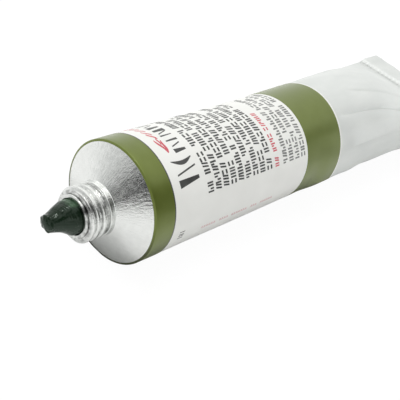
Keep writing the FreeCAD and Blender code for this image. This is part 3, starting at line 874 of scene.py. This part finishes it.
# Painted shade: the floor's colour darkens far out on the near side.
outer = spread(nodes, links, parts["Y"], -0.060, -0.036, 0.68, 1.0)
links.new(scaled(nodes, links, shade, outer), shader.inputs["Base Color"])
shader.inputs["Roughness"].default_value = 1.0
shader.inputs["Specular IOR Level"].default_value = 0.0
# To the camera it is nearly all white, with only a trace of shadow.
glow = add(nodes, "ShaderNodeEmission", Strength=1.05)
seen = add(nodes, "ShaderNodeLightPath").outputs["Is Camera Ray"]
blend = add(nodes, "ShaderNodeMixShader")
links.new(times(nodes, links, seen, 0.92), blend.inputs["Fac"])
links.new(shader.outputs["BSDF"], blend.inputs[1])
links.new(glow.outputs["Emission"], blend.inputs[2])
links.new(blend.outputs["Shader"], nodes["Material Output"].inputs["Surface"])
floor_mesh.materials.append(pale)


def toward(nodes, links, look, direction):
    """How nearly a direction of view points another way, as the cosine between them."""
    node = add(nodes, "ShaderNodeVectorMath", operation="DOT_PRODUCT")
    node.inputs[1].default_value = direction
    links.new(look, node.inputs[0])
    return node.outputs["Value"]


# Darker and brighter patches of the room: the way round and up to each, how far from its
# middle it is at full strength and where it ends, all in degrees, and its strength.
PATCHES = (
    (181, 0.5, 11.5, 24, 0.05), (310, 17, 16, 28, 0.05), (218, 37, 7, 14, 0.20),
    (276, 52, 22, 32, 0.05), (130, 0, 20, 40, 0.91), (250, 12, 15, 32, 1.8),
    (345, 2, 12, 26, 1.4),
)
world = bpy.data.worlds.new("studio")
bpy.context.scene.world = world
world.use_nodes = True
nodes, links = world.node_tree.nodes, world.node_tree.links
nodes.clear()
look = add(nodes, "ShaderNodeTexCoord").outputs["Generated"]
height = split(nodes, links, look)["Z"]
stops = ((0.0, (1.02, 1.03, 1.02)), (0.35, (0.98, 0.99, 0.98)), (1.0, (1.05, 1.05, 1.03)))
sky = ramp(nodes, links, height, stops)
# One side of the room is dimmer just above the floor.
low = spread(nodes, links, height, 0.12, 0.42, 1.0, 0.0)
above = spread(nodes, links, height, -0.06, 0.02, 0.0, 1.0)
near = spread(nodes, links, toward(nodes, links, look, (-0.90, -0.44, 0)), 0.15, 0.65, 0.0, 1.0)
dim_side = times(nodes, links, times(nodes, links, low, near), above)
level = spread(nodes, links, dim_side, 0.0, 1.0, 1.0, 0.40)
for around, up, full, none, strength in PATCHES:
    around, up = math.radians(around), math.radians(up)
    way = (math.cos(around) * math.cos(up), math.sin(around) * math.cos(up), math.sin(up))
    edge, middle = math.cos(math.radians(none)), math.cos(math.radians(full))
    patch = spread(nodes, links, toward(nodes, links, look, way), edge, middle, 1.0, strength)
    level = times(nodes, links, level, patch)
soft = add(nodes, "ShaderNodeBackground", Strength=1.0)
links.new(scaled(nodes, links, sky, level), soft.inputs["Color"])
# The camera itself sees plain white.
blank = add(nodes, "ShaderNodeBackground", Strength=1.0, Color=(1, 1, 1, 1))
mix = add(nodes, "ShaderNodeMixShader")
links.new(add(nodes, "ShaderNodeLightPath").outputs["Is Camera Ray"], mix.inputs["Fac"])
links.new(soft.outputs["Background"], mix.inputs[1])
links.new(blank.outputs["Background"], mix.inputs[2])
output = add(nodes, "ShaderNodeOutputWorld")
links.new(mix.outputs["Shader"], output.inputs["Surface"])

# A name, a place, what the lamp faces, its size and its power.
LAMPS = (
    ("key", (-0.15, -0.25, 0.90), (0, 0, 0), 0.70, 1.2),
    ("back", (0.10, 0.70, 0.60), (0, 0, 0), 0.60, 0.6),
    ("spark", (-0.021, 0.086, 0.498), (-0.06, 0, 0.01), 0.02, 0.5),
    ("fill", (0.17, -0.075, 0.02), (0.045, 0, 0.012), 0.05, 0.035),
    ("side", (0.03, -0.30, 0.03), (0.02, 0, 0.01), 0.15, 0.06),
)
for name, spot, facing, size, energy in LAMPS:
    lamp = bpy.data.lights.new(name, "AREA")
    lamp.size = size
    lamp.energy = energy
    light = bpy.data.objects.new(name, lamp)
    light.location = spot
    light.rotation_euler = (Vector(facing) - Vector(spot)).to_track_quat("-Z", "Y").to_euler()
    light.visible_camera = False
    # The side lamp brightens the wall without a reflection of its own.
    light.visible_glossy = name != "side"
    bpy.context.scene.collection.objects.link(light)

camera_data = bpy.data.cameras.new("camera")
camera = bpy.data.objects.new("camera", camera_data)
bpy.context.scene.collection.objects.link(camera)
camera_data.sensor_width = 36
camera_data.lens = 70.9056
camera_data.clip_start = 0.01
camera.location = place((-91.80, -78.87, 90.68))
camera.rotation_euler = [math.radians(turn) for turn in (53.667, -15.904, -45.478)]
bpy.context.scene.camera = camera
bpy.context.scene.view_settings.view_transform = "Standard"
